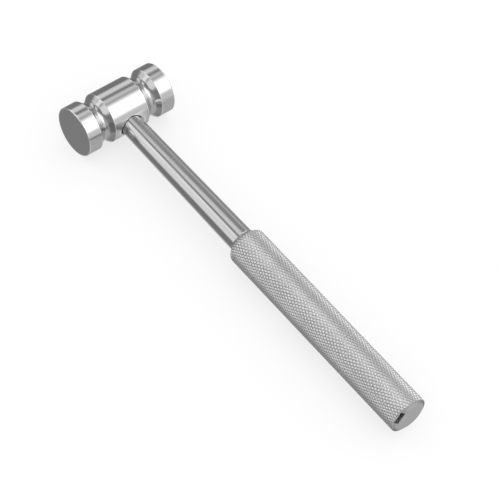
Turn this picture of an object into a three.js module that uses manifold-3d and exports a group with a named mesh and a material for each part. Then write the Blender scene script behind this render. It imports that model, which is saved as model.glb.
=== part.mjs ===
// All-metal surgical mallet lying flat: handle along +X, head axis along Y, +Z up. Millimetres.
// The origin is the middle of the bottom of the mallet's box.

import * as THREE from 'three';
import { mergeVertices } from 'three/addons/utils/BufferGeometryUtils.js';
import Module from 'manifold-3d';

const wasm = await Module();
wasm.setup();

// Roundness of the turned pieces.
const SIDES_OUTSIDE = 64;
const SIDES_INSIDE = 40;
const ARC_STEPS = 5;

// Clearance between pieces that touch on the real mallet.
const GAP = 0.3;

// Head. Distances along the head's axis count from its middle.
const HEAD_RADIUS = 14.5;
const HEAD_LENGTH = 58;
const FACE_BEVEL = 0.6;
const EDGE_BEVEL = 0.2;
const DISC_THICKNESS = 8.6;
const GROOVE_WIDTH = 9.2;
const GROOVE_FLANK = THREE.MathUtils.degToRad(41.5);
const GROOVE_FILLET = 3.6;

// Hole for the shaft in the side of the head. Distances along the handle count from the head's axis.
const SEAT_RADIUS = 6.7;
const SEAT_FLOOR_X = 3;
const TENON_RADIUS = 5;
const TENON_END_X = -8.5;
const MOUTH_CHAMFER_X = 13.5;
const CUTTER_REACH = 6;

// Pin across the tenon, driven in from underneath.
const PIN_RADIUS = 2;
const PIN_X = -3;
const PIN_TOP_Z = 7.5;
const PIN_BOTTOM_Z = -14.1;

// Shaft and tang.
const SHAFT_RADIUS_AT_HEAD = 6.4;
const SHAFT_RADIUS_AT_GRIP = 7.25;
const SHAFT_END_X = 110.4;
const TANG_RADIUS = 5;
const TANG_SHOULDER_X = 228;
const THREAD_RADIUS = 4;
const THREAD_END_X = 241.6;
const END_BEVEL = 0.6;

// Grip sleeve.
const GRIP_RADIUS = 11;
const SLEEVE_END_X = 245.1;
const SLEEVE_BORE_RADIUS = 8.5;
const SLEEVE_REAR_BORE_RADIUS = 9.4;
const SHOULDER_SLOPE = THREE.MathUtils.degToRad(47);
const SHOULDER_ROUNDING = 2.5;

// Bushes, washer and nut inside the grip.
const BUSH_NOSE_RADIUS = 8.5;
const FRONT_BUSH_LENGTH = 12;
const REAR_BUSH_LENGTH = 4;
const WASHER_RADIUS = 7;
const WASHER_THICKNESS = 1.6;
const WASHER_SPLIT = 1.2;
const NUT_ACROSS_FLATS = 13;
const NUT_HEIGHT = 6.5;

// End plug and its slot. The slot's place is an angle round the handle, from +Y towards +Z.
const END_CONE_LENGTH = 1.4;
const END_CONE_RADIAL = 2.9;
const PLUG_THICKNESS = 3.5;
const SLOT_LENGTH = 7.1;
const SLOT_INNER = 7.2;
const SLOT_OUTER = 10;
const SLOT_DEPTH = 6;
const SLOT_ANGLE = THREE.MathUtils.degToRad(147);

// Dimensions that follow from the ones above.
const THREAD_BORE = THREAD_RADIUS + GAP;
const REAR_BUSH_X = TANG_SHOULDER_X + GAP;
const WASHER_X = REAR_BUSH_X + REAR_BUSH_LENGTH + GAP;
const NUT_X = WASHER_X + WASHER_THICKNESS + GAP;
const GRIP_END_X = SLEEVE_END_X + END_CONE_LENGTH;
const BOX_MIDDLE_X = (GRIP_END_X - HEAD_RADIUS) / 2;

const STEEL = { color: 0xc4c6c8, roughness: 0.18, metalness: 1 };
const SATIN_STEEL = { color: 0xb9bab9, roughness: 0.42, metalness: 1 };
const FACE_STEEL = { color: 0xa9abad, roughness: 0.3, metalness: 1 };
const HIDDEN_STEEL = { color: 0x8f9295, roughness: 0.5, metalness: 1 };

// Welds the vertices of a geometry and drops the collapsed triangles at its poles.
function weld(geometry) {
  const bare = geometry.clone();
  bare.deleteAttribute('normal');
  bare.deleteAttribute('uv');
  const merged = mergeVertices(bare, 1e-4);
  const index = [];
  for (let i = 0; i < merged.index.count; i += 3) {
    const [a, b, c] = [0, 1, 2].map((k) => merged.index.getX(i + k));
    if (a !== b && b !== c && c !== a) index.push(a, b, c);
  }
  merged.setIndex(index);
  return merged;
}

function toSolid(geometry) {
  const merged = weld(geometry);
  const vertProperties = new Float32Array(merged.attributes.position.array);
  const triVerts = new Uint32Array(merged.index.array);
  return new wasm.Manifold(new wasm.Mesh({ numProp: 3, vertProperties, triVerts }));
}

function toGeometry(solid) {
  const mesh = solid.getMesh();
  const geometry = new THREE.BufferGeometry();
  geometry.setAttribute('position', new THREE.BufferAttribute(new Float32Array(mesh.vertProperties), 3));
  geometry.setIndex(new THREE.BufferAttribute(new Uint32Array(mesh.triVerts), 1));
  return geometry;
}

function cut(geometry, ...cutters) {
  const solid = cutters.reduce((rest, cutter) => rest.subtract(toSolid(cutter)), toSolid(geometry));
  return toGeometry(solid);
}

// Turns an outline of [distance along the axis, radius] points round the Y axis.
function turnedOnY(outline, sides) {
  const points = outline.map(([along, radius]) => new THREE.Vector2(radius, along));
  return weld(new THREE.LatheGeometry(points, sides));
}

function turnedOnX(outline, sides) {
  return turnedOnY(outline, sides).rotateZ(-Math.PI / 2);
}

function turnedOnZ(outline, sides) {
  return turnedOnY(outline, sides).rotateX(Math.PI / 2);
}

// Points of an arc in the outline's plane, angles measured from the axis towards the radius.
function arc(along, radius, size, from, to) {
  return Array.from({ length: ARC_STEPS + 1 }, (_, i) => {
    const angle = from + ((to - from) * i) / ARC_STEPS;
    return [along + size * Math.cos(angle), radius + size * Math.sin(angle)];
  });
}

// One V groove with a rounded root, its flanks tangent to the rounding.
function grooveOutline(middle) {
  const half = GROOVE_WIDTH / 2;
  const vertexRadius = HEAD_RADIUS - half * Math.tan(GROOVE_FLANK);
  const centreRadius = vertexRadius + GROOVE_FILLET / Math.cos(GROOVE_FLANK);
  const lean = Math.PI / 2 - GROOVE_FLANK;
  const inwards = EDGE_BEVEL * Math.cos(GROOVE_FLANK);
  const bevelRadius = HEAD_RADIUS - EDGE_BEVEL * Math.sin(GROOVE_FLANK);
  return [
    [middle - half - EDGE_BEVEL, HEAD_RADIUS],
    [middle - half + inwards, bevelRadius],
    ...arc(middle, centreRadius, GROOVE_FILLET, Math.PI + lean, 2 * Math.PI - lean),
    [middle + half - inwards, bevelRadius],
    [middle + half + EDGE_BEVEL, HEAD_RADIUS],
  ];
}

function headGeometry() {
  const end = HEAD_LENGTH / 2;
  const grooveMiddle = end - DISC_THICKNESS - GROOVE_WIDTH / 2;
  const body = turnedOnY([
    [-end, 0],
    [-end, HEAD_RADIUS - FACE_BEVEL],
    [-end + FACE_BEVEL, HEAD_RADIUS],
    ...grooveOutline(-grooveMiddle),
    ...grooveOutline(grooveMiddle),
    [end - FACE_BEVEL, HEAD_RADIUS],
    [end, HEAD_RADIUS - FACE_BEVEL],
    [end, 0],
  ], SIDES_OUTSIDE);
  const mouthEnd = HEAD_RADIUS + CUTTER_REACH;
  const seat = turnedOnX([
    [TENON_END_X - GAP, 0],
    [TENON_END_X - GAP, TENON_RADIUS + GAP],
    [SEAT_FLOOR_X, TENON_RADIUS + GAP],
    [SEAT_FLOOR_X, SEAT_RADIUS],
    [MOUTH_CHAMFER_X, SEAT_RADIUS],
    [mouthEnd, SEAT_RADIUS + mouthEnd - MOUTH_CHAMFER_X],
    [mouthEnd, 0],
  ], SIDES_INSIDE);
  return cut(body, seat, pinHole());
}

function pinHole() {
  const radius = PIN_RADIUS + GAP;
  const below = -HEAD_RADIUS - CUTTER_REACH;
  const outline = [[below, 0], [below, radius], [PIN_TOP_Z + GAP, radius], [PIN_TOP_Z + GAP, 0]];
  return turnedOnZ(outline, SIDES_INSIDE).translate(PIN_X, 0, 0);
}

function headPinGeometry() {
  return turnedOnZ([
    [PIN_BOTTOM_Z, 0],
    [PIN_BOTTOM_Z, PIN_RADIUS],
    [PIN_TOP_Z - END_BEVEL, PIN_RADIUS],
    [PIN_TOP_Z, PIN_RADIUS - END_BEVEL],
    [PIN_TOP_Z, 0],
  ], SIDES_INSIDE).translate(PIN_X, 0, 0);
}

function shaftRadiusAt(x) {
  const share = (x - HEAD_RADIUS) / (SHAFT_END_X - HEAD_RADIUS);
  return SHAFT_RADIUS_AT_HEAD + share * (SHAFT_RADIUS_AT_GRIP - SHAFT_RADIUS_AT_HEAD);
}

function shaftGeometry() {
  const seatStart = SEAT_FLOOR_X + GAP;
  const rod = turnedOnX([
    [TENON_END_X, 0],
    [TENON_END_X, TENON_RADIUS - END_BEVEL],
    [TENON_END_X + END_BEVEL, TENON_RADIUS],
    [seatStart, TENON_RADIUS],
    [seatStart, shaftRadiusAt(seatStart)],
    [SHAFT_END_X, SHAFT_RADIUS_AT_GRIP],
    [SHAFT_END_X, TANG_RADIUS],
    [TANG_SHOULDER_X, TANG_RADIUS],
    [TANG_SHOULDER_X, THREAD_RADIUS],
    [THREAD_END_X - END_BEVEL, THREAD_RADIUS],
    [THREAD_END_X, THREAD_RADIUS - END_BEVEL],
    [THREAD_END_X, 0],
  ], SIDES_OUTSIDE);
  return cut(rod, pinHole());
}

// The grip's shoulder is a cone that starts at the shaft's surface and rounds over into the grip.
function shoulderX(radius) {
  return SHAFT_END_X + GAP + (radius - SHAFT_RADIUS_AT_GRIP) / Math.tan(SHOULDER_SLOPE);
}

function shoulderOutline() {
  const tangentRadius = GRIP_RADIUS - SHOULDER_ROUNDING * (1 - Math.cos(SHOULDER_SLOPE));
  const centreX = shoulderX(tangentRadius) + SHOULDER_ROUNDING * Math.sin(SHOULDER_SLOPE);
  const start = BUSH_NOSE_RADIUS + GAP;
  const firstAngle = Math.PI / 2 + SHOULDER_SLOPE;
  const rounding = arc(centreX, GRIP_RADIUS - SHOULDER_ROUNDING, SHOULDER_ROUNDING, firstAngle, Math.PI / 2);
  return [[shoulderX(start), start], ...rounding];
}

// Radius of the cone at the grip's end, at a distance along the handle.
function endConeRadius(x) {
  return GRIP_RADIUS - (END_CONE_RADIAL * (x - SLEEVE_END_X)) / END_CONE_LENGTH;
}

function endConeX(radius) {
  return SLEEVE_END_X + (END_CONE_LENGTH * (GRIP_RADIUS - radius)) / END_CONE_RADIAL;
}

function slotCutter() {
  const cutter = new THREE.BoxGeometry(SLOT_DEPTH * 2, SLOT_OUTER - SLOT_INNER, SLOT_LENGTH);
  return cutter
    .translate(GRIP_END_X, (SLOT_INNER + SLOT_OUTER) / 2, 0)
    .rotateX(SLOT_ANGLE);
}

function gripSleeveGeometry() {
  const counterboreX = TANG_SHOULDER_X;
  const lip = shoulderOutline();
  const rearBore = SLEEVE_REAR_BORE_RADIUS;
  const tube = turnedOnX([
    [lip[0][0], SLEEVE_BORE_RADIUS],
    ...lip,
    [SLEEVE_END_X, GRIP_RADIUS],
    [endConeX(rearBore), rearBore],
    [counterboreX, rearBore],
    [counterboreX, SLEEVE_BORE_RADIUS],
    [lip[0][0], SLEEVE_BORE_RADIUS],
  ], SIDES_OUTSIDE);
  return cut(tube, slotCutter());
}

function frontBushGeometry() {
  const bore = TANG_RADIUS + GAP;
  const start = SHAFT_END_X + GAP;
  const body = SLEEVE_BORE_RADIUS - GAP;
  return turnedOnX([
    [start, bore],
    [start, SHAFT_RADIUS_AT_GRIP],
    [shoulderX(body), body],
    [start + FRONT_BUSH_LENGTH, body],
    [start + FRONT_BUSH_LENGTH, bore],
    [start, bore],
  ], SIDES_OUTSIDE);
}

function ringGeometry(start, length, bore, radius) {
  const end = start + length;
  const outline = [[start, bore], [start, radius], [end, radius], [end, bore], [start, bore]];
  return turnedOnX(outline, SIDES_INSIDE);
}

function rearBushGeometry() {
  return ringGeometry(REAR_BUSH_X, REAR_BUSH_LENGTH, THREAD_BORE, SLEEVE_REAR_BORE_RADIUS - GAP);
}

function lockWasherGeometry() {
  const ring = ringGeometry(WASHER_X, WASHER_THICKNESS, THREAD_BORE, WASHER_RADIUS);
  const split = new THREE.BoxGeometry(WASHER_THICKNESS * 3, WASHER_RADIUS * 2, WASHER_SPLIT);
  return cut(ring, split.translate(WASHER_X, WASHER_RADIUS, 0));
}

function tangNutGeometry() {
  const hexagon = new THREE.Shape();
  const cornerRadius = NUT_ACROSS_FLATS / Math.sqrt(3);
  for (let i = 0; i < 6; i += 1) {
    const angle = (i * Math.PI) / 3;
    const [x, y] = [cornerRadius * Math.cos(angle), cornerRadius * Math.sin(angle)];
    if (i === 0) hexagon.moveTo(x, y);
    else hexagon.lineTo(x, y);
  }
  hexagon.closePath();
  hexagon.holes.push(new THREE.Path().absarc(0, 0, THREAD_BORE, 0, Math.PI * 2, true));
  const settings = { depth: NUT_HEIGHT, bevelEnabled: false, curveSegments: SIDES_INSIDE / 2 };
  return weld(new THREE.ExtrudeGeometry(hexagon, settings)).rotateY(Math.PI / 2).translate(NUT_X, 0, 0);
}

function endPlugGeometry() {
  const radius = SLEEVE_REAR_BORE_RADIUS - GAP;
  const back = GRIP_END_X - PLUG_THICKNESS;
  const disc = turnedOnX([
    [back, 0],
    [back, radius],
    [endConeX(radius), radius],
    [GRIP_END_X, endConeRadius(GRIP_END_X)],
    [GRIP_END_X, 0],
  ], SIDES_OUTSIDE);
  return cut(disc, slotCutter());
}

function piece(name, geometry, look) {
  const bare = geometry.index ? geometry : weld(geometry);
  bare.computeVertexNormals();
  const mesh = new THREE.Mesh(bare, new THREE.MeshStandardMaterial(look));
  mesh.name = name;
  return mesh;
}

const mallet = new THREE.Group();
mallet.position.set(-BOX_MIDDLE_X, 0, HEAD_RADIUS);
mallet.add(
  piece('head', headGeometry(), STEEL),
  piece('head_pin', headPinGeometry(), HIDDEN_STEEL),
  piece('shaft', shaftGeometry(), STEEL),
  piece('front_bush', frontBushGeometry(), FACE_STEEL),
  piece('grip_sleeve', gripSleeveGeometry(), SATIN_STEEL),
  piece('rear_bush', rearBushGeometry(), HIDDEN_STEEL),
  piece('lock_washer', lockWasherGeometry(), HIDDEN_STEEL),
  piece('tang_nut', tangNutGeometry(), HIDDEN_STEEL),
  piece('end_plug', endPlugGeometry(), FACE_STEEL),
);

export default mallet;
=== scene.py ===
"""Looks of an all-metal surgical mallet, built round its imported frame.

The mallet lies flat: its handle runs along +X, its head along Y and +Z is up.
Its pieces are round, so most are outlines that are turned about an axis: lists
of corners, each with a distance along the axis and a radius. Distances along
the handle count from the head's axis, and all lengths are in metres.
"""

import logging
import math
from dataclasses import dataclass, field
from enum import Enum

import bmesh
import bpy
import numpy as np
from mathutils import Matrix, Vector


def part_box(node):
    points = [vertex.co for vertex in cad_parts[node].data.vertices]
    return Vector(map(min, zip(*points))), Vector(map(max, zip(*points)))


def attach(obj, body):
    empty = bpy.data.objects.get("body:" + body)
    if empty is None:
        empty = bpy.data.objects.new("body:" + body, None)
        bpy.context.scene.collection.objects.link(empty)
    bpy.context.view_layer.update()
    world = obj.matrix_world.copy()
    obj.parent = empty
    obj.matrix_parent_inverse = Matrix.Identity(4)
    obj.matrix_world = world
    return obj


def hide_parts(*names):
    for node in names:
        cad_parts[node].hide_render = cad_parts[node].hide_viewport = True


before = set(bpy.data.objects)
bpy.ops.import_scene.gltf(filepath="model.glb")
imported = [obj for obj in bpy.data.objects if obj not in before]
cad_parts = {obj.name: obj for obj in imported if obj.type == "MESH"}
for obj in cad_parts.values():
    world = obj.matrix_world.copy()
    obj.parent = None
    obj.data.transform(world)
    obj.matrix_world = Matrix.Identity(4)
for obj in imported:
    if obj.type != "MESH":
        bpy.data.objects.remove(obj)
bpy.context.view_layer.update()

LOG = logging.getLogger("mallet")
MM = 0.001
BODY = "root"

Outline = list[tuple[float, float]]
Colour = tuple[float, float, float, float]


class Axis(Enum):
    """The line that a piece is turned round."""

    HANDLE = (1.0, 0.0, 0.0)
    HEAD = (0.0, 1.0, 0.0)
    UP = (0.0, 0.0, 1.0)

    def place(self, along: np.ndarray, out: np.ndarray, rise: np.ndarray) -> np.ndarray:
        """Turns distances along and across the axis into points.

        Args:
            along: Distances along the axis.
            out: First distance across the axis.
            rise: Second distance across the axis.

        Returns:
            One row of x, y and z for each distance.
        """
        columns = {
            Axis.HANDLE: (along, out, rise),
            Axis.HEAD: (-out, along, rise),
            Axis.UP: (out, rise, along),
        }[self]
        return np.stack(np.broadcast_arrays(*columns), axis=-1)


@dataclass(frozen=True)
class Corner:
    """One corner of an outline.

    Attributes:
        along: Distance along the axis.
        radius: Distance from the axis.
        rounding: Radius of the arc that takes the corner's place.
    """

    along: float
    radius: float
    rounding: float = 0.0


class Turned:
    """Makes meshes from outlines that are turned round an axis."""

    # Largest turn of one step of an arc, and largest share of a stretch that an arc takes up.
    ARC_STEP = math.radians(14)
    LARGEST_SHARE = 0.49
    # Distance of a guard ring from its corner, and the length below which there is none.
    GUARD = 0.45 * MM
    SHORTEST_GUARDED = 4 * GUARD
    # Radius below which a ring is one point.
    POLE = 1e-7

    @classmethod
    def outline(cls, corners: list[Corner], closed: bool = False) -> Outline:
        """Rounds the corners and adds a guard ring beside each end of a long stretch.

        Args:
            corners: The corners, in order, so that the metal lies to their right.
            closed: Whether the last corner joins the first.

        Returns:
            The outline's points.
        """
        points: Outline = []
        last = len(corners) - 1
        for place, corner in enumerate(corners):
            at_end = not closed and place in (0, last)
            if corner.rounding <= 0 or at_end:
                points.append((corner.along, corner.radius))
                continue
            before = corners[place - 1]
            after = corners[(place + 1) % len(corners)]
            points.extend(cls._arc(before, corner, after))
        return cls._with_guards(points, closed)

    @classmethod
    def _arc(cls, before: Corner, corner: Corner, after: Corner) -> Outline:
        """Points of the arc that rounds a corner between its two neighbours."""
        tip = np.array((corner.along, corner.radius))
        back = np.array((before.along, before.radius)) - tip
        ahead = np.array((after.along, after.radius)) - tip
        reach = cls.LARGEST_SHARE * min(np.linalg.norm(back), np.linalg.norm(ahead))
        back = back / np.linalg.norm(back)
        ahead = ahead / np.linalg.norm(ahead)
        half = math.acos(float(np.clip(back @ ahead, -1, 1))) / 2
        size = min(corner.rounding, reach * math.tan(half))
        inward = back + ahead
        inward = inward / np.linalg.norm(inward)
        centre = tip + inward * size / math.sin(half)
        start = tip + back * size / math.tan(half) - centre
        stop = tip + ahead * size / math.tan(half) - centre
        sweep = math.pi - 2 * half
        steps = max(2, math.ceil(sweep / cls.ARC_STEP))
        turn = math.copysign(sweep, start[0] * stop[1] - start[1] * stop[0])
        points = []
        for step in range(steps + 1):
            angle = turn * step / steps
            cosine, sine = math.cos(angle), math.sin(angle)
            spot = centre + (
                cosine * start[0] - sine * start[1],
                sine * start[0] + cosine * start[1],
            )
            points.append((float(spot[0]), float(spot[1])))
        return points

    @classmethod
    def _with_guards(cls, points: Outline, closed: bool) -> Outline:
        """Adds a point close to each end of every long stretch."""
        result: Outline = []
        count = len(points)
        for place, start in enumerate(points):
            result.append(start)
            if place == count - 1 and not closed:
                break
            stop = points[(place + 1) % count]
            length = math.dist(start, stop)
            if length < cls.SHORTEST_GUARDED:
                continue
            for share in (cls.GUARD / length, 1 - cls.GUARD / length):
                along = start[0] + share * (stop[0] - start[0])
                radius = start[1] + share * (stop[1] - start[1])
                result.append((along, radius))
        return result

    @classmethod
    def mesh(
        cls, name: str, outline: Outline, axis: Axis, sides: int, closed: bool = False
    ) -> bpy.types.Mesh:
        """Turns an outline round an axis.

        Args:
            name: The mesh's name.
            outline: Points from the axis back to the axis, or a closed loop.
            axis: The line to turn it round.
            sides: How many steps make a full turn.
            closed: Whether the outline is a closed loop.

        Returns:
            A closed mesh with its faces pointing out.
        """
        angles = np.arange(sides) * (2 * math.pi / sides)
        rings: list[list[int]] = []
        points: list[np.ndarray] = []
        for along, radius in outline:
            first = len(points)
            if radius < cls.POLE:
                points.append(axis.place(np.array(along), np.array(0.0), np.array(0.0)))
                rings.append([first])
                continue
            out, rise = radius * np.cos(angles), radius * np.sin(angles)
            points.extend(axis.place(np.full(sides, along), out, rise))
            rings.append(list(range(first, first + sides)))
        pairs = list(zip(rings, rings[1:]))
        if closed:
            pairs.append((rings[-1], rings[0]))
        faces: list[tuple[int, ...]] = []
        for low, high in pairs:
            faces.extend(cls._between(low, high, sides))
        return finished_mesh(name, np.array(points), faces)

    @staticmethod
    def _between(low: list[int], high: list[int], sides: int) -> list[tuple[int, ...]]:
        """Faces between two neighbouring rings, either of which may be a pole."""
        faces: list[tuple[int, ...]] = []
        for step in range(sides):
            following = (step + 1) % sides
            if len(low) == 1:
                faces.append((low[0], high[following], high[step]))
            elif len(high) == 1:
                faces.append((low[step], low[following], high[0]))
            else:
                faces.append((low[step], low[following], high[following], high[step]))
        return faces


def finished_mesh(name: str, points: np.ndarray, faces: list[tuple[int, ...]]) -> bpy.types.Mesh:
    """Makes a mesh whose faces all point out.

    Args:
        name: The mesh's name.
        points: One row for each vertex.
        faces: Vertex numbers of each face.

    Returns:
        The mesh.
    """
    mesh = bpy.data.meshes.new(name)
    mesh.from_pydata(points.tolist(), [], faces)
    work = bmesh.new()
    work.from_mesh(mesh)
    bmesh.ops.recalc_face_normals(work, faces=work.faces)
    work.to_mesh(mesh)
    work.free()
    return mesh


def shade(mesh: bpy.types.Mesh, sharp_angle: float) -> None:
    """Shades a mesh smooth, apart from the edges that turn by more than an angle in radians."""
    mesh.polygons.foreach_set("use_smooth", [True] * len(mesh.polygons))
    mesh.set_sharp_from_angle(angle=sharp_angle)


def mark_edge_highlight(mesh: bpy.types.Mesh) -> None:
    """Stores how sharply the surface turns outwards at each vertex, for a painted highlight on the edges.
    """
    full_highlight_turn = math.radians(10)
    work = bmesh.new()
    work.from_mesh(mesh)
    values = []
    for vert in work.verts:
        turns = [edge.calc_face_angle_signed(0.0) for edge in vert.link_edges]
        values.append(min(1.0, max(0.0, *turns) / full_highlight_turn) ** 2)
    work.free()
    layer = mesh.attributes.new("edge", "FLOAT", "POINT")
    layer.data.foreach_set("value", values)


def cut_away(mesh: bpy.types.Mesh, cutters: list[bpy.types.Mesh]) -> bpy.types.Mesh:
    """Cuts other meshes out of a mesh.

    Args:
        mesh: The mesh to cut.
        cutters: Closed meshes to take away from it.

    Returns:
        A new mesh with the same name.
    """
    body = bpy.data.objects.new("cut_body", mesh)
    bpy.context.collection.objects.link(body)
    tools = []
    for cutter in cutters:
        tool = bpy.data.objects.new("cutter", cutter)
        bpy.context.collection.objects.link(tool)
        modifier = body.modifiers.new("cut", "BOOLEAN")
        modifier.operation = "DIFFERENCE"
        modifier.solver = "EXACT"
        modifier.object = tool
        tools.append(tool)
    graph = bpy.context.evaluated_depsgraph_get()
    result = bpy.data.meshes.new_from_object(body.evaluated_get(graph))
    result.name = mesh.name
    for leftover in [body, *tools]:
        bpy.data.objects.remove(leftover)
    return result


def block(low: tuple[float, float, float], high: tuple[float, float, float]) -> bpy.types.Mesh:
    """A box between two corners, for cutting.

    Args:
        low: Its lowest corner.
        high: Its highest corner.

    Returns:
        The box.
    """
    points = [(x, y, z) for x in (low[0], high[0]) for y in (low[1], high[1]) for z in (low[2], high[2])]
    faces = [(0, 1, 3, 2), (4, 6, 7, 5), (0, 4, 5, 1), (2, 3, 7, 6), (0, 2, 6, 4), (1, 5, 7, 3)]
    return finished_mesh("block", np.array(points), faces)


class Nodes:
    """A short way to write a node tree."""

    def __init__(self, tree: bpy.types.NodeTree) -> None:
        """Keeps the tree to write in."""
        self.tree = tree

    def add(self, kind: str, inputs: dict | None = None, **settings: object) -> bpy.types.Node:
        """Adds a node.

        Args:
            kind: The node's type.
            inputs: A value or an output socket for each input, by name or number.
            settings: Values for the node's own properties.

        Returns:
            The node.
        """
        node = self.tree.nodes.new(kind)
        for name, value in settings.items():
            setattr(node, name, value)
        for key, value in (inputs or {}).items():
            self.feed(node.inputs[key], value)
        return node

    def feed(self, socket: bpy.types.NodeSocket, value: object) -> None:
        """Links an output to an input, or sets the input's value."""
        if isinstance(value, bpy.types.NodeSocket):
            self.tree.links.new(value, socket)
        else:
            socket.default_value = value

    def math(self, operation: str, *values: object) -> bpy.types.NodeSocket:
        """Adds a Math node and returns its output."""
        return self.add("ShaderNodeMath", dict(enumerate(values)), operation=operation).outputs[0]

    def vector(self, operation: str, *values: object) -> bpy.types.Node:
        """Adds a Vector Math node and returns it."""
        return self.add("ShaderNodeVectorMath", dict(enumerate(values)), operation=operation)

    def dot(self, first: object, second: object) -> bpy.types.NodeSocket:
        """Returns the dot product of two vectors."""
        return self.vector("DOT_PRODUCT", first, second).outputs["Value"]

    def scaled(self, value: object, factor: object) -> bpy.types.NodeSocket:
        """Scales a vector and returns the result."""
        node = self.vector("SCALE", value)
        self.feed(node.inputs["Scale"], factor)
        return node.outputs[0]

    def noise(self, place: object, scale: object, detail: float, **more: float) -> bpy.types.NodeSocket:
        """Adds a Noise texture, with its other inputs by name, and returns its value."""
        inputs = {"Vector": place, "Scale": scale, "Detail": detail, **more}
        return self.add("ShaderNodeTexNoise", inputs).outputs["Fac"]

    def remap(
        self, value: object, low: float, high: float, to_low: object, to_high: object
    ) -> bpy.types.NodeSocket:
        """Adds a smooth Map Range node and returns its output."""
        inputs = {"Value": value, "From Min": low, "From Max": high, "To Min": to_low, "To Max": to_high}
        return self.add("ShaderNodeMapRange", inputs, interpolation_type="SMOOTHSTEP").outputs[0]

    def blend(self, share: object, first: object, second: object) -> bpy.types.NodeSocket:
        """Mixes two colours and returns the result."""
        node = self.add("ShaderNodeMix", data_type="RGBA")
        self.feed(node.inputs["Factor"], share)
        self.feed(node.inputs[6], first)
        self.feed(node.inputs[7], second)
        return node.outputs[2]


    def bump(self, height: object, distance: float) -> bpy.types.NodeSocket:
        """Adds a Bump node and returns the normal."""
        inputs = {"Height": height, "Strength": 1.0, "Distance": distance}
        return self.add("ShaderNodeBump", inputs).outputs["Normal"]

    def metal(self, base: object, rough: object, normal: object, glint: Colour) -> None:
        """Adds a metal shader and the material's output.

        Args:
            base: Reflected colour.
            rough: Roughness.
            normal: Normal of the surface.
            glint: Tint of the reflections at a glancing angle.
        """
        inputs = {"Metallic": 1.0, "Base Color": base, "Roughness": rough, "Normal": normal}
        shader = self.add("ShaderNodeBsdfPrincipled", {**inputs, "Specular Tint": glint})
        self.add("ShaderNodeOutputMaterial", {"Surface": shader.outputs["BSDF"]})


def grey(level: float) -> Colour:
    """A neutral colour."""
    return (level, level, level, 1.0)


def empty_material(name: str) -> tuple[bpy.types.Material, Nodes]:
    """Makes a material without nodes, and what writes its tree."""
    material = bpy.data.materials.new(name)
    material.use_nodes = True
    material.node_tree.nodes.clear()
    return material, Nodes(material.node_tree)


def shared_effect(
    name: str, inputs: dict[str, tuple[str, object]], outputs: tuple[str, ...]
) -> tuple[Nodes, bpy.types.Node, bpy.types.Node]:
    """Starts a node group with named sockets.

    Args:
        name: The group's name.
        inputs: Socket type and default value of each input.
        outputs: Name of each output, which are all values.

    Returns:
        The tree's writer, its input node and its output node.
    """
    tree = bpy.data.node_groups.new(name, "ShaderNodeTree")
    for title, (kind, value) in inputs.items():
        socket = tree.interface.new_socket(title, in_out="INPUT", socket_type=kind)
        socket.default_value = value
    for title in outputs:
        tree.interface.new_socket(title, in_out="OUTPUT", socket_type="NodeSocketFloat")
    nodes = Nodes(tree)
    return nodes, nodes.add("NodeGroupInput"), nodes.add("NodeGroupOutput")


def turning_marks() -> bpy.types.NodeTree:
    """Fine rings that a lathe tool leaves round an axis.

    Returns:
        The node group, which puts out a height and a tone.
    """
    wander = 60.0
    band_scale = 0.12
    nodes, given, result = shared_effect(
        "turning_marks",
        {
            "Point": ("NodeSocketVector", (0.0, 0.0, 0.0)),
            "Axis": ("NodeSocketVector", (1.0, 0.0, 0.0)),
            "Marks per metre": ("NodeSocketFloat", 6000.0),
        },
        ("Height", "Tone"),
    )
    point, axis, density = (given.outputs[title] for title in ("Point", "Axis", "Marks per metre"))
    along = nodes.dot(point, axis)
    across = nodes.vector("SUBTRACT", point, nodes.scaled(axis, along)).outputs[0]
    radius = nodes.vector("LENGTH", across).outputs["Value"]
    steps = [nodes.math("MULTIPLY", distance, density) for distance in (along, radius)]
    fine = nodes.add("ShaderNodeCombineXYZ", dict(enumerate(steps))).outputs[0]
    spot = nodes.vector("ADD", fine, nodes.scaled(across, wander)).outputs[0]
    rings = nodes.noise(spot, 1.0, 3.0, Roughness=0.65)
    bands = nodes.noise(nodes.scaled(spot, band_scale), 1.0, 2.0)
    nodes.feed(result.inputs["Height"], rings)
    nodes.feed(result.inputs["Tone"], nodes.math("MULTIPLY", rings, bands))
    return nodes.tree


def handling_wear() -> bpy.types.NodeTree:
    """Smudges from hands and washing, and hairline scratches.

    Returns:
        The node group, which puts out a smudge mask and a scratch mask.
    """
    hair_width = 0.012
    smudge_from, smudge_full = 0.42, 0.72
    scratch_directions = ((0.5, (1.0, 14.0, 3.0)), (2.1, (12.0, 1.0, 4.0)))
    nodes, given, result = shared_effect(
        "handling_wear",
        {
            "Point": ("NodeSocketVector", (0.0, 0.0, 0.0)),
            "Smudge scale": ("NodeSocketFloat", 60.0),
            "Scratch scale": ("NodeSocketFloat", 90.0),
        },
        ("Smudges", "Scratches"),
    )
    point = given.outputs["Point"]
    smudge = nodes.noise(point, given.outputs["Smudge scale"], 4.0, Distortion=0.6)
    nodes.feed(result.inputs["Smudges"], nodes.remap(smudge, smudge_from, smudge_full, 0.0, 1.0))
    hairs = []
    for turn, stretch in scratch_directions:
        spun = nodes.add("ShaderNodeVectorRotate", {"Vector": point, "Angle": turn}).outputs[0]
        drawn = nodes.vector("MULTIPLY", spun, stretch).outputs[0]
        noise = nodes.noise(drawn, given.outputs["Scratch scale"], 6.0, Roughness=0.7)
        from_middle = nodes.math("ABSOLUTE", nodes.math("SUBTRACT", noise, 0.5))
        hairs.append(nodes.remap(from_middle, 0.0, hair_width, 1.0, 0.0))
    nodes.feed(result.inputs["Scratches"], nodes.math("MAXIMUM", *hairs))
    return nodes.tree


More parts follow.
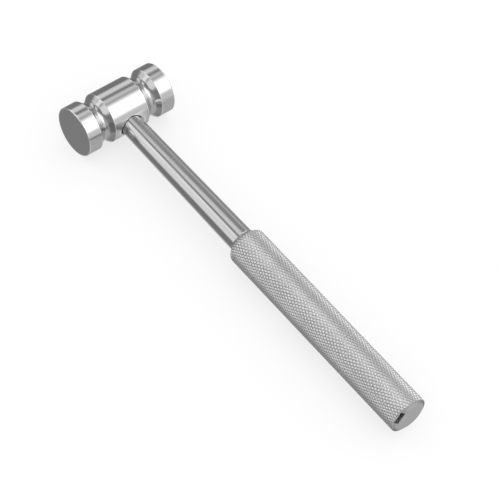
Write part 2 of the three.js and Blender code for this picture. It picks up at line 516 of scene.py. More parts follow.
@dataclass(frozen=True)
class TurnedSteel:
    """A turned and polished or ground stainless steel finish.

    Attributes:
        name: The material's name.
        axis: The line that the piece is turned round.
        colour: Reflected colour.
        roughness: Roughness of the clean surface.
        smudge_roughness: Extra roughness under smudges.
        edge_highlight_colour: Painted highlight colour of the sharp outward edges.
        marks: Turning marks per metre.
        mark_depth: Height of the turning marks.
        scratch: How much a hairline scratch changes the roughness.
    """

    name: str
    axis: Axis
    colour: Colour
    roughness: float
    smudge_roughness: float
    edge_highlight_colour: Colour
    marks: float
    mark_depth: float
    scratch: float

    # What all turned finishes share: the range of the marks' tone, and what the marks change.
    LOWEST_TONE = 0.1
    HIGHEST_TONE = 0.5
    DARKEST_MARK = 0.12
    DARKER = 0.8
    MARK_ROUGHNESS = 0.5

    def build(self, effects: dict[str, bpy.types.NodeTree]) -> bpy.types.Material:
        """Makes the material.

        Args:
            effects: The shared node groups, by name.

        Returns:
            The material.
        """
        material, nodes = empty_material(self.name)
        point = nodes.add("ShaderNodeTexCoord").outputs["Object"]
        given = {"Point": point, "Axis": self.axis.value, "Marks per metre": self.marks}
        marks = nodes.add("ShaderNodeGroup", given, node_tree=effects["turning_marks"])
        wear = nodes.add("ShaderNodeGroup", {"Point": point}, node_tree=effects["handling_wear"])
        edge = nodes.add("ShaderNodeAttribute", attribute_name="edge").outputs["Fac"]

        tone = marks.outputs["Tone"]
        tint = nodes.remap(tone, self.LOWEST_TONE, self.HIGHEST_TONE, 0.0, self.DARKEST_MARK)
        darker = tuple(self.DARKER * part for part in self.colour[:3]) + (1.0,)
        base = nodes.blend(tint, self.colour, darker)
        # Painted highlight: the sharp outward edges are blended towards a brighter colour.
        base = nodes.blend(edge, base, self.edge_highlight_colour)

        rough: object = self.roughness
        for mask, share in (
            (wear.outputs["Smudges"], self.smudge_roughness),
            (wear.outputs["Scratches"], self.scratch),
            (tone, self.roughness * self.MARK_ROUGHNESS),
        ):
            rough = nodes.math("MULTIPLY_ADD", mask, share, rough)
        nodes.metal(base, rough, nodes.bump(marks.outputs["Height"], self.mark_depth), grey(1.0))
        return material


@dataclass(frozen=True)
class KnurledSteel:
    """The satin steel of the knurled grip, with a painted highlight on the points and painted shade in the
    grooves.

    Attributes:
        name: The material's name.
        lit_point_colour: Colour of the points, painted lighter as a painted highlight.
        shaded_groove_colour: Colour deep in the grooves, painted darker as a painted shade.
        point_roughness: Roughness of the points.
        groove_roughness: Roughness of the grooves.
        turned_colour: Reflected colour of the turned end and bore.
        turned_roughness: Roughness of the turned end and bore.
    """

    name: str
    lit_point_colour: Colour
    shaded_groove_colour: Colour
    point_roughness: float
    groove_roughness: float
    turned_colour: Colour
    turned_roughness: float

    # The fine grain, how far up the grooves keep their painted shade, and the tint of a glancing
    # reflection.
    GRAIN_SCALE = 2600.0
    GRAIN_DEPTH = 0.002 * MM
    GRAIN_ROUGHNESS = 0.12
    SMUDGE_DARKENING = -0.18
    BRIGHT_FROM = 0.75
    GLINT = 0.4

    def build(self, effects: dict[str, bpy.types.NodeTree]) -> bpy.types.Material:
        """Makes the material.

        Args:
            effects: The shared node groups, by name.

        Returns:
            The material.
        """
        material, nodes = empty_material(self.name)
        point = nodes.add("ShaderNodeTexCoord").outputs["Object"]
        rise = nodes.add("ShaderNodeAttribute", attribute_name="rise").outputs["Fac"]
        turned = nodes.add("ShaderNodeAttribute", attribute_name="turned").outputs["Fac"]
        wear = nodes.add("ShaderNodeGroup", {"Point": point}, node_tree=effects["handling_wear"])
        grain = nodes.noise(point, self.GRAIN_SCALE, 3.0)

        uneven = nodes.math("MULTIPLY_ADD", wear.outputs["Smudges"], self.SMUDGE_DARKENING, rise)
        share = nodes.remap(uneven, 0.0, self.BRIGHT_FROM, 0.0, 1.0)
        # Painted light and shade: the points are painted near white, and the grooves darker.
        base = nodes.blend(share, self.shaded_groove_colour, self.lit_point_colour)
        rough = nodes.remap(share, 0.0, 1.0, self.groove_roughness, self.point_roughness)
        rough = nodes.math("MULTIPLY_ADD", grain, self.GRAIN_ROUGHNESS, rough)
        base = nodes.blend(turned, base, self.turned_colour)
        rough = nodes.remap(turned, 0.0, 1.0, rough, self.turned_roughness)
        nodes.metal(base, rough, nodes.bump(grain, self.GRAIN_DEPTH), grey(self.GLINT))
        return material


class Finish(Enum):
    """The finishes of the mallet's pieces."""

    HEAD = TurnedSteel(
        "head_polish", Axis.HEAD, colour=grey(0.63), edge_highlight_colour=grey(0.98), roughness=0.10,
        smudge_roughness=0.05, scratch=0.05, marks=5200, mark_depth=0.0010 * MM,
    )
    SHAFT = TurnedSteel(
        "shaft_polish", Axis.HANDLE, colour=grey(0.63), edge_highlight_colour=grey(0.8), roughness=0.12,
        smudge_roughness=0.05, scratch=0.05, marks=5200, mark_depth=0.0012 * MM,
    )
    GROUND = TurnedSteel(
        "ground_steel", Axis.HANDLE, colour=grey(0.64), edge_highlight_colour=grey(0.7), roughness=0.26,
        smudge_roughness=0.08, scratch=0.06, marks=4200, mark_depth=0.0030 * MM,
    )
    PLAIN = TurnedSteel(
        "plain_steel", Axis.HANDLE, colour=(0.45, 0.46, 0.47, 1), edge_highlight_colour=grey(0.5), roughness=0.34,
        smudge_roughness=0.08, scratch=0.05, marks=3000, mark_depth=0.0040 * MM,
    )
    KNURLED = KnurledSteel(
        "knurled_steel", lit_point_colour=grey(0.98), shaded_groove_colour=grey(0.62), point_roughness=0.27,
        groove_roughness=0.38, turned_colour=grey(0.64), turned_roughness=0.28,
    )


class Workshop:
    """Makes the materials once and turns meshes into the mallet's pieces."""

    SHARP_ANGLE = math.radians(24)

    def __init__(self) -> None:
        """Finds the mallet's middle in the frame and makes the finishes."""
        low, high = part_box("head")
        self.radius = (high.z - low.z) / 2
        self.middle = Vector((low.x + self.radius, (low.y + high.y) / 2, low.z + self.radius))
        effects = {"turning_marks": turning_marks(), "handling_wear": handling_wear()}
        self.materials = {finish: finish.value.build(effects) for finish in Finish}

    def piece(self, mesh: bpy.types.Mesh, finish: Finish, slot: str, *nodes: str) -> None:
        """Places a mesh that was made round the head's middle.

        Args:
            mesh: The piece's mesh.
            finish: Its finish.
            slot: Not used.
            nodes: The frame's nodes that it stands for.
        """
        mesh.materials.clear()
        mesh.materials.append(self.materials[finish])
        item = bpy.data.objects.new(mesh.name, mesh)
        bpy.context.collection.objects.link(item)
        item.location = self.middle
        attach(item, BODY)
        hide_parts(*nodes)
        LOG.info("%s: %d faces", item.name, len(mesh.polygons))

    def dress(self, mesh: bpy.types.Mesh) -> bpy.types.Mesh:
        """Shades a turned mesh and marks its edges for the painted edge highlight.

        Args:
            mesh: The mesh to dress.

        Returns:
            The same mesh.
        """
        shade(mesh, self.SHARP_ANGLE)
        mark_edge_highlight(mesh)
        return mesh


@dataclass
class Head:
    """The turned head, its seat for the shaft and the pin that locks the shaft.

    Attributes:
        shop: Where the pieces are placed.
        disc: Thickness of each end disc.
        groove: Width of each groove.
        flank: Angle of a groove's flanks to the head's axis.
        groove_rounding: Radius of the rounded root.
        face_rounding: Rounding of the edge of a striking face.
        edge_rounding: Rounding of the other edges.
        seat_radius: Radius of the hole for the shaft.
        mouth: Distance along the handle at which the hole's chamfer starts.
        seat_floor: Distance along the handle of the hole's floor.
        pin_radius: Radius of the locking pin.
        pin_place: Distance of the pin along the handle.
        pin_top: Height of the pin's top above the head's axis.
        pin_clearance: Gap round the pin.
        pin_chamfer: Chamfer of the pin's top.
        cutter_reach: How far a cutter stands out of the head.
        sides: Steps of a full turn.
        pin_sides: Steps of a full turn of the pin.
    """

    shop: Workshop
    disc: float = 8.6 * MM
    groove: float = 9.2 * MM
    flank: float = math.radians(41.5)
    groove_rounding: float = 3.6 * MM
    face_rounding: float = 0.6 * MM
    edge_rounding: float = 0.55 * MM
    seat_radius: float = 6.75 * MM
    mouth: float = 13.5 * MM
    seat_floor: float = 2.5 * MM
    pin_radius: float = 2.0 * MM
    pin_place: float = -3.0 * MM
    pin_top: float = 7.5 * MM
    pin_clearance: float = 0.03 * MM
    pin_chamfer: float = 0.5 * MM
    cutter_reach: float = 6.0 * MM
    sides: int = 256
    pin_sides: int = 64

    def outline(self) -> Outline:
        """The head's outline from face to face."""
        low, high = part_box("head")
        end = (high.y - low.y) / 2
        radius = self.shop.radius
        apex = radius - self.groove / 2 * math.tan(self.flank)
        corners = [Corner(-end, 0.0), Corner(-end, radius, self.face_rounding)]
        for side in (-1, 1):
            middle = side * (end - self.disc - self.groove / 2)
            corners += [
                Corner(middle - self.groove / 2, radius, self.edge_rounding),
                Corner(middle, apex, self.groove_rounding),
                Corner(middle + self.groove / 2, radius, self.edge_rounding),
            ]
        corners += [Corner(end, radius, self.face_rounding), Corner(end, 0.0)]
        return Turned.outline(corners)

    def seat(self) -> bpy.types.Mesh:
        """The shape of the hole for the shaft."""
        reach = self.shop.radius + self.cutter_reach
        outline = [
            (self.seat_floor, 0.0),
            (self.seat_floor, self.seat_radius),
            (self.mouth, self.seat_radius),
            (reach, self.seat_radius + reach - self.mouth),
            (reach, 0.0),
        ]
        return Turned.mesh("seat", outline, Axis.HANDLE, self.sides)

    def pin_hole(self) -> bpy.types.Mesh:
        """The shape of the hole for the pin."""
        radius = self.pin_radius + self.pin_clearance
        below = -self.shop.radius - self.cutter_reach
        top = self.pin_top + self.pin_clearance
        outline = [(below, 0.0), (below, radius), (top, radius), (top, 0.0)]
        mesh = Turned.mesh("pin_hole", outline, Axis.UP, self.pin_sides)
        mesh.transform(Matrix.Translation((self.pin_place, 0, 0)))
        return mesh

    def smooth_barrel(self, mesh: bpy.types.Mesh) -> None:
        """Gives barrel and discs the normals of a true cylinder, so the cuts don't mar the shine.

        Args:
            mesh: The head.
        """
        normals = np.zeros((len(mesh.loops), 3))
        nearly_round = 0.02 * MM
        nearly_level = 0.01
        for face in mesh.polygons:
            if abs(face.normal.y) > nearly_level:
                continue
            corners = [mesh.vertices[number].co for number in face.vertices]
            if any(abs(math.hypot(spot.x, spot.z) - self.shop.radius) > nearly_round for spot in corners):
                continue
            for loop, spot in zip(face.loop_indices, corners):
                normals[loop] = Vector((spot.x, 0, spot.z)).normalized()
        mesh.normals_split_custom_set(normals.tolist())

    def pin(self) -> bpy.types.Mesh:
        """The locking pin, its lower end ground flush with the barrel."""
        radius, top = self.pin_radius, self.pin_top
        low_end = [(-self.shop.radius, share * radius) for share in (0.0, 0.25, 0.5, 0.75, 1.0)]
        outline = [*low_end, (top - self.pin_chamfer, radius), (top, radius - self.pin_chamfer), (top, 0.0)]
        mesh = Turned.mesh("head_pin", outline, Axis.UP, self.pin_sides)
        for vert in mesh.vertices:
            vert.co.x += self.pin_place
            if vert.co.z < 0:
                vert.co.z = -math.sqrt(self.shop.radius**2 - vert.co.x**2)
        return mesh

    def build(self) -> None:
        """Makes the head and its pin."""
        whole = Turned.mesh("head", self.outline(), Axis.HEAD, self.sides)
        head = self.shop.dress(cut_away(whole, [self.seat(), self.pin_hole()]))
        self.smooth_barrel(head)
        self.shop.piece(head, Finish.HEAD, "polished_steel", "head")
        pin = self.shop.dress(self.pin())
        self.shop.piece(pin, Finish.HEAD, "polished_steel", "head_pin")


@dataclass
class Shaft:
    """The tapered shaft, with its tenon in the head and its tang in the grip.

    Attributes:
        shop: Where the piece is placed.
        head_radius: Radius where the shaft leaves the head.
        grip_radius: Radius where the shaft meets the grip.
        grip_start: Distance along the handle of the end of the taper.
        tenon_radius: Radius of the tenon.
        tenon_end: Distance along the handle of the tenon's end.
        seat_start: Distance along the handle at which the full thickness starts.
        tang_radius: Radius of the tang.
        tang_shoulder: Distance along the handle of the tang's step.
        thread_radius: Radius over the thread.
        edge: Rounding of the edges.
        end_edge: Rounding of the edges of both ends.
        sides: Steps of a full turn.
    """

    shop: Workshop
    head_radius: float = 6.4 * MM
    grip_radius: float = 7.25 * MM
    grip_start: float = 110.4 * MM
    tenon_radius: float = 5.0 * MM
    tenon_end: float = -8.5 * MM
    seat_start: float = 2.6 * MM
    tang_radius: float = 5.0 * MM
    tang_shoulder: float = 228.0 * MM
    thread_radius: float = 4.0 * MM
    edge: float = 0.25 * MM
    end_edge: float = 0.6 * MM
    sides: int = 192

    def build(self) -> None:
        """Makes the shaft."""
        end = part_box("shaft")[1].x - self.shop.middle.x
        slope = (self.grip_radius - self.head_radius) / (self.grip_start - self.shop.radius)
        seat_radius = self.head_radius + slope * (self.seat_start - self.shop.radius)
        corners = [
            Corner(self.tenon_end, 0.0),
            Corner(self.tenon_end, self.tenon_radius, self.end_edge),
            Corner(self.seat_start, self.tenon_radius),
            Corner(self.seat_start, seat_radius, self.edge),
            Corner(self.grip_start, self.grip_radius, self.edge),
            Corner(self.grip_start, self.tang_radius),
            Corner(self.tang_shoulder, self.tang_radius, self.edge),
            Corner(self.tang_shoulder, self.thread_radius),
            Corner(end, self.thread_radius, self.end_edge),
            Corner(end, 0.0),
        ]
        mesh = Turned.mesh("shaft", Turned.outline(corners), Axis.HANDLE, self.sides)
        self.shop.piece(self.shop.dress(mesh), Finish.SHAFT, "polished_steel", "shaft")


@dataclass
class Knurl:
    """A diamond knurl: two crossing families of V grooves, at about 30 degrees to the axis.

    Attributes:
        starts: Grooves of each family round the grip.
        cell_length: Length of a diamond along the grip.
        depth: Depth of the grooves.
        floor: Size of a diamond's foot, as a share of its cell.
        ledge: Size of the diamond where its tip starts to round.
        top: Size of the diamond's flat tip.
        ledge_height: Height of the ledge, as a share of the depth.
        spare_rows: Rows past each end, for trimming.
    """

    starts: int = 39
    cell_length: float = 3.14 * MM
    depth: float = 0.25 * MM
    floor: float = 0.95
    ledge: float = 0.44
    top: float = 0.30
    ledge_height: float = 0.93
    spare_rows: int = 3


@dataclass
class Grip:
    """The hollow knurled grip with its front bush and end plug.

    Attributes:
        shop: Where the pieces are placed.
        shaft: The shaft that the grip is fixed to.
        knurl: The pattern on the sleeve.
        shoulder_slope: Angle of the front cone to the handle.
        shoulder_rounding: Radius of the arc from the cone into the sleeve.
        nose_radius: Radius at which the front bush's nose ends and the sleeve starts.
        bore: Radius of the sleeve's bore.
        rear_bore: Radius of the wider bore at the rear.
        end_cone_radial: Radial size of the cone at the grip's end.
        end_cone_length: Length of the cone at the grip's end.
        fade: Length over which the knurl's depth grows at the shoulder.
        lip: Metal between the knurl's grooves and the end cone's inner ring.
        seam: Gap between pieces that are pressed together.
        bush_length: Length of the front bush.
        slot_length: Length of the slot in the end.
        slot_inner: Distance from the axis to the slot's inner side.
        slot_outer: Distance from the axis to the slot's outer side.
        slot_depth: Depth of the slot.
        slot_angle: Where the slot is round the handle, from +Y towards +Z.
        plug_thickness: Thickness of the end plug.
        sides: Steps of a full turn.
    """

    shop: Workshop
    shaft: Shaft
    knurl: Knurl = field(default_factory=Knurl)
    shoulder_slope: float = math.radians(47)
    shoulder_rounding: float = 2.5 * MM
    nose_radius: float = 8.6 * MM
    bore: float = 8.5 * MM
    rear_bore: float = 9.4 * MM
    end_cone_radial: float = 2.9 * MM
    end_cone_length: float = 1.4 * MM
    fade: float = 0.5 * MM
    lip: float = 0.15 * MM
    seam: float = 0.03 * MM
    bush_length: float = 12.0 * MM
    slot_length: float = 7.1 * MM
    slot_inner: float = 7.2 * MM
    slot_outer: float = 10.0 * MM
    slot_depth: float = 8.0 * MM
    slot_angle: float = math.radians(147)
    plug_thickness: float = 3.5 * MM
    sides: int = 192

    # Height in the pattern that the plain turned faces count as.
    TURNED_RISE = 0.8

    def __post_init__(self) -> None:
        """Reads the sleeve's radius and the grip's end from the frame."""
        low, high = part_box("grip_sleeve")
        self.radius = (high.z - low.z) / 2
        self.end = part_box("end_plug")[1].x - self.shop.middle.x
        self.sleeve_end = self.end - self.end_cone_length

    def shoulder_along(self, radius: float) -> float:
        """Distance along the handle at which the front cone has a radius."""
        return self.shaft.grip_start + (radius - self.shaft.grip_radius) / math.tan(self.shoulder_slope)

    def cone_along(self, radius: np.ndarray | float) -> np.ndarray | float:
        """Distance along the handle at which the end cone has a radius."""
        return self.sleeve_end + self.end_cone_length * (self.radius - radius) / self.end_cone_radial

    def profile(self, path: np.ndarray) -> tuple[np.ndarray, np.ndarray, np.ndarray]:
        """The sleeve's outside as a path from the nose, over the shoulder and along the grip.

        Args:
            path: Distances along the path.

        Returns:
            The distance along the handle, the radius and the outward direction's angle from the radius.
        """
        slope, size = self.shoulder_slope, self.shoulder_rounding
        cone = (self.radius - size * (1 - math.cos(slope)) - self.nose_radius) / math.sin(slope)
        before_arc = np.minimum(path - cone, 0.0)
        after_arc = np.maximum(path - cone - size * slope, 0.0)
        lean = np.clip(slope - (path - cone) / size, 0.0, slope)
        arc_along = self.shoulder_along(self.nose_radius) + cone * math.cos(slope) + size * math.sin(slope)
        along = arc_along - size * np.sin(lean) + before_arc * math.cos(slope) + after_arc
        radius = self.radius - size * (1 - np.cos(lean)) + before_arc * math.sin(slope)
        return along, radius, lean

    def knurled_surface(self) -> tuple[np.ndarray, np.ndarray, list[tuple[int, ...]]]:
        """The diamonds of the whole sleeve, past both of its ends.

        Returns:
            The points, each point's height in the pattern and the faces.
        """
        knurl = self.knurl
        starts, spare = knurl.starts, knurl.spare_rows
        half_long, half_wide = knurl.cell_length / 2, math.pi / knurl.starts
        sleeve_length = self.sleeve_end - self.shoulder_along(self.nose_radius)
        row = np.arange(-spare, math.ceil(sleeve_length / half_long) + 2 * spare)[:, None]
        parity = row % 2
        crossing_path = np.broadcast_to(row * half_long, (len(row), starts))
        crossing_turn = half_wide * (2 * np.arange(starts)[None, :] + parity)

        paths = [crossing_path.ravel()]
        turns = [crossing_turn.ravel()]
        rises = [np.zeros(crossing_path.size)]
        centre_path = crossing_path[:-2] + half_long
        centre_turn = crossing_turn[:-2]
        shapes = ((knurl.floor, 0.0), (knurl.ledge, knurl.ledge_height), (knurl.top, 1.0))
        directions = ((-1, 0), (0, 1), (1, 0), (0, -1))
        for size, height in shapes:
            for ahead, aside in directions:
                paths.append((centre_path + ahead * size * half_long).ravel())
                turns.append((centre_turn + aside * size * half_wide).ravel())
                rises.append(np.full(centre_path.size, height))

        cells = centre_path.size
        cell = np.arange(cells)
        line, place = cell // starts, cell % starts
        odd = parity.ravel()[line]
        front = line * starts + place
        back = (line + 2) * starts + place
        right = (line + 1) * starts + (place + odd) % starts
        left = (line + 1) * starts + (place + odd - 1) % starts
        levels = [[front, right, back, left]]
        for level in range(len(shapes)):
            first = crossing_path.size + len(directions) * level * cells
            levels.append([first + side * cells + cell for side in range(len(directions))])
        faces: list[np.ndarray] = []
        for outer, inner in zip(levels, levels[1:]):
            for side in range(len(directions)):
                after = (side + 1) % len(directions)
                faces.append(np.stack([outer[side], outer[after], inner[after], inner[side]], axis=1))
        faces.append(np.stack(levels[-1], axis=1))

        path, turn, rise = np.concatenate(paths), np.concatenate(turns), np.concatenate(rises)
        along, radius, lean = self.profile(path)
        sunk = knurl.depth * np.clip(path / self.fade, 0.0, 1.0) * (1 - rise)
        along = along + sunk * np.sin(lean)
        radius = radius - sunk * np.cos(lean)
        points = Axis.HANDLE.place(along, radius * np.cos(turn), radius * np.sin(turn))
        return points, rise, [tuple(face) for face in np.concatenate(faces).tolist()]

    def sleeve(self) -> bpy.types.Mesh:
        """The knurled sleeve, closed at both ends and inside."""
        points, rise, faces = self.knurled_surface()
        work = bmesh.new()
        layer = work.verts.layers.float.new("rise")
        work.faces.layers.float.new("turned")
        verts = []
        for spot, height in zip(points.tolist(), rise.tolist()):
            vert = work.verts.new(spot)
            vert[layer] = height
            verts.append(vert)
        for face in faces:
            work.faces.new([verts[number] for number in face])
        self._trim(work)
        self._close(work, layer)
        bmesh.ops.recalc_face_normals(work, faces=work.faces)
        mesh = bpy.data.meshes.new("grip_sleeve")
        work.to_mesh(mesh)
        work.free()
        return mesh

    def _trim(self, work: bmesh.types.BMesh) -> None:
        """Cuts off the rows past both ends of the sleeve."""
        for place, side in ((self.shoulder_along(self.nose_radius), -1), (self.sleeve_end, 1)):
            bmesh.ops.bisect_plane(
                work,
                geom=work.verts[:] + work.edges[:] + work.faces[:],
                plane_co=(place, 0, 0),
                plane_no=(side, 0, 0),
                clear_outer=True,
            )
        loose = [vert for vert in work.verts if not vert.link_faces]
        bmesh.ops.delete(work, geom=loose, context="VERTS")

    def _close(self, work: bmesh.types.BMesh, layer: object) -> None:
        """Closes the trimmed sleeve by its end cone, its bore and its front edge.

        Args:
            work: The mesh to close.
            layer: The layer that holds the pattern's height.
        """
        front = self.shoulder_along(self.nose_radius)
        halfway = (front + self.sleeve_end) / 2
        rims = [vert for vert in work.verts if any(edge.is_boundary for edge in vert.link_edges)]
        front_rim = self._by_angle([vert for vert in rims if vert.co.x < halfway])
        ring = self._by_angle([vert for vert in rims if vert.co.x > halfway])
        for vert in ring:
            vert.co.x = float(self.cone_along(math.hypot(vert.co.y, vert.co.z)))
        root = self.radius - self.knurl.depth - self.lip
        for along, radius in (
            (float(self.cone_along(root)), root),
            (float(self.cone_along(self.rear_bore)), self.rear_bore),
            (self.shaft.tang_shoulder, self.rear_bore),
            (self.shaft.tang_shoulder, self.bore),
        ):
            ring = self._next_ring(work, layer, ring, along, radius)
        self._stitch(work, ring, self._next_ring(work, layer, front_rim, front, self.bore))

    @staticmethod
    def _by_angle(verts: list) -> list:
        """Vertices in their order round the handle."""
        return sorted(verts, key=lambda vert: math.atan2(vert.co.z, vert.co.y))

    @staticmethod
    def _next_ring(work: bmesh.types.BMesh, layer: object, ring: list, along: float, radius: float) -> list:
        """Adds a ring beside another one, with faces between them.

        Args:
            work: The mesh to add to.
            layer: The layer that holds the pattern's height.
            ring: The vertices to start from, in order round the handle.
            along: The new ring's distance along the handle.
            radius: The new ring's radius.

        Returns:
            The new ring's vertices.
        """
        fresh = []
        turned = work.faces.layers.float["turned"]
        for vert in ring:
            turn = math.atan2(vert.co.z, vert.co.y)
            made = work.verts.new((along, radius * math.cos(turn), radius * math.sin(turn)))
            made[layer] = Grip.TURNED_RISE
            fresh.append(made)
        count = len(ring)
        for step in range(count):
            after = (step + 1) % count
            face = work.faces.new((ring[step], ring[after], fresh[after], fresh[step]))
            face[turned] = 1.0
        return fresh

    @staticmethod
    def _stitch(work: bmesh.types.BMesh, first: list, second: list) -> None:
        """Joins two rings with different numbers of vertices by triangles."""
        turn = {vert: math.atan2(vert.co.z, vert.co.y) for vert in first + second}
        one, two = 0, 0
        while one < len(first) or two < len(second):
            here, there = first[one % len(first)], second[two % len(second)]
            next_one = first[(one + 1) % len(first)]
            next_two = second[(two + 1) % len(second)]
            reach_one = turn[next_one] + (2 * math.pi if one + 1 >= len(first) else 0)
            reach_two = turn[next_two] + (2 * math.pi if two + 1 >= len(second) else 0)
            take_first = two >= len(second) or (one < len(first) and reach_one <= reach_two)
            if take_first:
                work.faces.new((here, next_one, there))
                one += 1
            else:
                work.faces.new((here, next_two, there))
                two += 1

    def slot(self) -> bpy.types.Mesh:
        """The shape of the slot in the grip's end."""
        half = self.slot_length / 2
        low = (self.end - self.slot_depth, self.slot_inner, -half)
        high = (self.end + self.slot_depth, self.slot_outer, half)
        mesh = block(low, high)
        mesh.transform(Matrix.Rotation(self.slot_angle, 4, "X"))
        return mesh

    def front_bush(self) -> bpy.types.Mesh:
        """The bush between the shaft and the sleeve, whose nose shows as a smooth ring."""
        start = self.shaft.grip_start + self.seam
        inside = self.bore - self.seam
        nose = self.nose_radius - self.seam
        bore = self.shaft.tang_radius + self.seam
        stop = start + self.bush_length
        nose_end = self.shoulder_along(nose) - self.seam
        lead_in, front_edge, back_edge = 0.1 * MM, 0.05 * MM, 0.4 * MM
        corners = [
            Corner(start, bore),
            Corner(start, self.shaft.grip_radius - lead_in),
            Corner(start + front_edge, self.shaft.grip_radius + lead_in),
            Corner(nose_end, nose, front_edge),
            Corner(nose_end, inside),
            Corner(stop, inside, back_edge),
            Corner(stop, bore),
        ]
        return Turned.mesh("front_bush", Turned.outline(corners, True), Axis.HANDLE, self.sides, True)

    def end_plug(self) -> bpy.types.Mesh:
        """The plug that closes the grip's end, with its notch of the slot."""
        radius = self.rear_bore - self.seam
        back = self.end - self.plug_thickness
        face = self.radius - self.end_cone_radial
        back_edge, face_edge = 0.3 * MM, 0.6 * MM
        corners = [
            Corner(back, 0.0),
            Corner(back, radius, back_edge),
            Corner(float(self.cone_along(radius)), radius),
            Corner(self.end, face, face_edge),
            Corner(self.end, 0.0),
        ]
        whole = Turned.mesh("end_plug", Turned.outline(corners), Axis.HANDLE, self.sides)
        return cut_away(whole, [self.slot()])

    def build(self) -> None:
        """Makes the sleeve, the front bush and the end plug."""
        sleeve = cut_away(self.sleeve(), [self.slot()])
        sleeve.polygons.foreach_set("use_smooth", [False] * len(sleeve.polygons))
        self.shop.piece(sleeve, Finish.KNURLED, "knurled_steel", "grip_sleeve")
        for mesh, node in ((self.front_bush(), "front_bush"), (self.end_plug(), "end_plug")):
            self.shop.piece(self.shop.dress(mesh), Finish.GROUND, "ground_steel", node)


def direction_of(azimuth: float, elevation: float) -> Vector:
    """A direction from an azimuth, which runs from -Y towards +X, and an elevation, in degrees."""
    turn, lift = math.radians(azimuth), math.radians(elevation)
    return Vector((math.sin(turn) * math.cos(lift), -math.cos(turn) * math.cos(lift), math.sin(lift)))


@dataclass(frozen=True)
class SoftBox:
    """A soft-edged rectangle of light in the surround, with its angles in degrees.

    Attributes:
        azimuth: Direction of its middle, from -Y towards +X.
        elevation: Height of its middle.
        wide: Half of its width.
        tall: Half of its height.
        soft: Half of the width of its soft edge.
        strength: Brightness that it adds, below zero for a dark screen.
    """

    azimuth: float
    elevation: float
    wide: float
    tall: float
    soft: float
    strength: float

    FADE = 0.1

    def mask(self, nodes: Nodes, toward: bpy.types.NodeSocket) -> bpy.types.NodeSocket:
        """Writes how much of the box a direction meets.

        Args:
            nodes: The world's tree.
            toward: The direction.

        Returns:
            The brightness.
        """
        ahead = direction_of(self.azimuth, self.elevation)
        side = direction_of(self.azimuth + 90, 0)
        nearly_beside = 0.001
        depth = nodes.dot(toward, tuple(ahead))
        in_front = nodes.math("MAXIMUM", depth, nearly_beside)
        level = nodes.remap(depth, 0.0, self.FADE, 0.0, self.strength)
        for direction, half in ((side, self.wide), (side.cross(ahead), self.tall)):
            offset = nodes.math("ABSOLUTE", nodes.dot(toward, tuple(direction)))
            angle = nodes.math("ARCTAN2", offset, in_front)
            low, high = math.radians(half - self.soft), math.radians(half + self.soft)
            level = nodes.math("MULTIPLY", level, nodes.remap(angle, low, high, 1.0, 0.0))
        return level


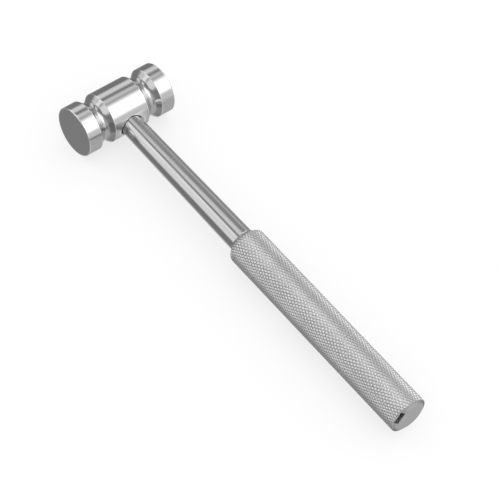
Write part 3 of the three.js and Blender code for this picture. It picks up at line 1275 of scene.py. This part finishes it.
@dataclass
class Studio:
    """The floor, the soft light and the camera.

    Attributes:
        shop: Tells where the mallet is.
        azimuth: Where the camera stands, from -Y towards +X, in degrees.
        elevation: How high the camera stands, in degrees.
        roll: How far the camera leans to its right, in degrees.
        distance: Distance from the camera to the point it looks at.
        lens: Focal length on a sensor 36 mm wide, in millimetres.
        aim: Point that the camera looks at, from the head's middle.
        boxes: The soft boxes and dark screens.
        dim_side: Brightness of the surround towards -X and -Y.
        bright_side: Brightness of the surround towards +X and +Y.
        even: Brightness of the surround that lights the floor.
        paint: Reflected colour of the floor.
        glow: Brightness of the floor's own light.
        glow_share: Share of that light in the floor.
    """

    shop: Workshop
    azimuth: float = 44.94
    elevation: float = 52.44
    roll: float = 8.09
    distance: float = 1.3158
    lens: float = 180.0
    aim: tuple[float, float, float] = (0.1174, -0.0004, 0.0001)
    # Azimuth, elevation, half the width, half the height, half the soft edge and brightness.
    boxes: tuple[SoftBox, ...] = (
        SoftBox(138, 47, 29, 21, 9, 1.75),
        SoftBox(117, 10, 26, 18, 12, 0.30),
        SoftBox(-112, 29, 23, 12, 6, 0.85),
        SoftBox(-1, 36, 17, 18, 5, 0.95),
        SoftBox(-39, 38, 8, 12, 5, 1.05),
        SoftBox(-29, 12, 13, 15, 6, 0.95),
        SoftBox(-61, 26, 14, 19, 7, 0.75),
        SoftBox(50, -17, 14, 21, 7, -0.22),
        SoftBox(88, -3, 14, 12, 7, -0.42),
        SoftBox(172, -15, 22, 22, 9, -0.35),
        SoftBox(-108, 66, 20, 9, 6, 0.85),
        SoftBox(-152, 19, 7, 6, 4, 0.38),
        SoftBox(-108, -60, 24, 16, 12, 0.50),
    )
    dim_side: float = 0.32
    bright_side: float = 0.70
    even: float = 1.1
    paint: Colour = grey(0.97)
    glow: float = 1.12
    glow_share: float = 0.6

    SENSOR_WIDTH = 36.0
    SIGHT = 20.0
    FLOOR_HALF = 3.0
    BRIGHTER_SIDE = (0.8, 0.6, 0.0)
    DIM_UP_TO = -0.2
    BRIGHT_FROM = 0.6

    def camera(self) -> None:
        """Makes the camera."""
        data = bpy.data.cameras.new("camera")
        data.sensor_width = self.SENSOR_WIDTH
        data.lens = self.lens
        data.clip_end = self.SIGHT
        camera = bpy.data.objects.new("camera", data)
        bpy.context.collection.objects.link(camera)
        back = direction_of(self.azimuth, self.elevation)
        target = self.shop.middle + Vector(self.aim)
        facing = back.to_track_quat("Z", "Y").to_matrix().to_4x4()
        lean = Matrix.Rotation(math.radians(self.roll), 4, "Z")
        camera.matrix_world = Matrix.Translation(target + back * self.distance) @ facing @ lean
        bpy.context.scene.camera = camera

    def floor(self) -> None:
        """Makes the pale floor."""
        half = self.FLOOR_HALF
        corners = np.array([(-half, -half, 0), (half, -half, 0), (half, half, 0), (-half, half, 0)])
        mesh = finished_mesh("floor", corners, [(0, 1, 2, 3)])
        floor = bpy.data.objects.new("floor", mesh)
        bpy.context.collection.objects.link(floor)
        floor.visible_glossy = False
        material, nodes = empty_material("pale_floor")
        paint = nodes.add("ShaderNodeBsdfDiffuse", {"Color": self.paint}).outputs[0]
        glow = nodes.add("ShaderNodeEmission", {"Strength": self.glow}).outputs[0]
        mixed = nodes.add("ShaderNodeMixShader", {0: self.glow_share, 1: paint, 2: glow}).outputs[0]
        nodes.add("ShaderNodeOutputMaterial", {"Surface": mixed})
        mesh.materials.append(material)

    def world(self) -> None:
        """Makes the even light on the floor and the soft boxes that the metal mirrors."""
        world = bpy.data.worlds.new("studio")
        bpy.context.scene.world = world
        world.cycles.sampling_method = "NONE"
        world.use_nodes = True
        nodes = Nodes(world.node_tree)
        nodes.tree.nodes.clear()
        toward = nodes.add("ShaderNodeTexCoord").outputs["Generated"]
        slant = nodes.dot(toward, self.BRIGHTER_SIDE)
        level = nodes.remap(slant, self.DIM_UP_TO, self.BRIGHT_FROM, self.dim_side, self.bright_side)
        for box in self.boxes:
            level = nodes.math("ADD", level, box.mask(nodes, toward))
        mirrored = nodes.add("ShaderNodeBackground", {"Strength": level}).outputs[0]
        even = nodes.add("ShaderNodeBackground", {"Strength": self.even}).outputs[0]
        glossy = nodes.add("ShaderNodeLightPath").outputs["Is Glossy Ray"]
        mixed = nodes.add("ShaderNodeMixShader", {0: glossy, 1: even, 2: mirrored}).outputs[0]
        nodes.add("ShaderNodeOutputWorld", {"Surface": mixed})

    def build(self) -> None:
        """Makes the whole studio."""
        bpy.context.scene.view_settings.view_transform = "Standard"
        self.camera()
        self.floor()
        self.world()
        LOG.info("studio: camera at %.1f, %.1f degrees", self.azimuth, self.elevation)


def dress_hidden_pieces(shop: Workshop) -> None:
    """Gives the frame's own solids inside the grip a plain steel finish."""
    for node in ("rear_bush", "lock_washer", "tang_nut"):
        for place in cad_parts[node].material_slots:
            place.material = shop.materials[Finish.PLAIN]
        LOG.info("%s: finish of the frame's own solid", node)


def main() -> None:
    """Builds the studio and the mallet."""
    logging.basicConfig(level=logging.INFO, format="%(name)s: %(message)s")
    shop = Workshop()
    Studio(shop).build()
    Head(shop).build()
    shaft = Shaft(shop)
    shaft.build()
    Grip(shop, shaft).build()
    dress_hidden_pieces(shop)


if __name__ == "__main__":
    main()
